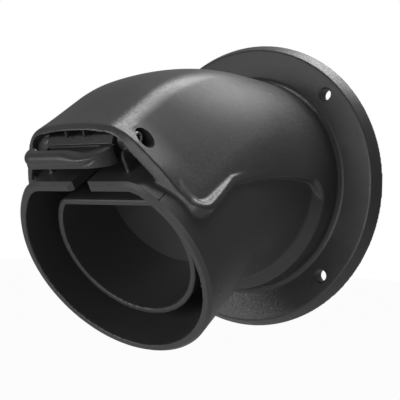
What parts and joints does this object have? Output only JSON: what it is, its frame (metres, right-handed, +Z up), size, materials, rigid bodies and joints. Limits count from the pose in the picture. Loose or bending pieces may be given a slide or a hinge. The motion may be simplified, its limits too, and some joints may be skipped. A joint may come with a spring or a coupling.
{
  "type": "ev connector holder",
  "caption": "Wall holder for a car charging connector: round screw flange, elbow hood, downward D-shaped nozzle with an inner collar, and a sprung latch lever under the hood.",
  "frame": {"origin": "centre of the wall flange on its back face", "axes": "+Y out of the flange's back into the wall, so the nozzle points to -Y and down; +Z up; +X to the right as seen from behind the wall, to the viewer's right from the front"},
  "size_m": [0.13, 0.1298, 0.1344],
  "materials": {
    "body_plastic": "fine moulded grain",
    "lever_plastic": "fine moulded grain",
    "pin_steel": "dark drawn steel",
    "spring_steel": "drawn wire"
  },
  "bodies": {
    "holder": {"housing": "body_plastic", "pivot_pin": "pin_steel", "return_spring": "spring_steel"},
    "lever": {"latch_lever": "lever_plastic"}
  },
  "joints": [
    {"name": "latch_pivot", "type": "hinge", "parent": "holder", "child": "lever", "pos_m": [0, -0.11205, 0.01103], "axis": [1, 0, 0], "range_deg": [0, 12], "stiffness_Nm_per_rad": 0.12, "springref_deg": -17.19, "deforming": ["return_spring"]}
  ]
}
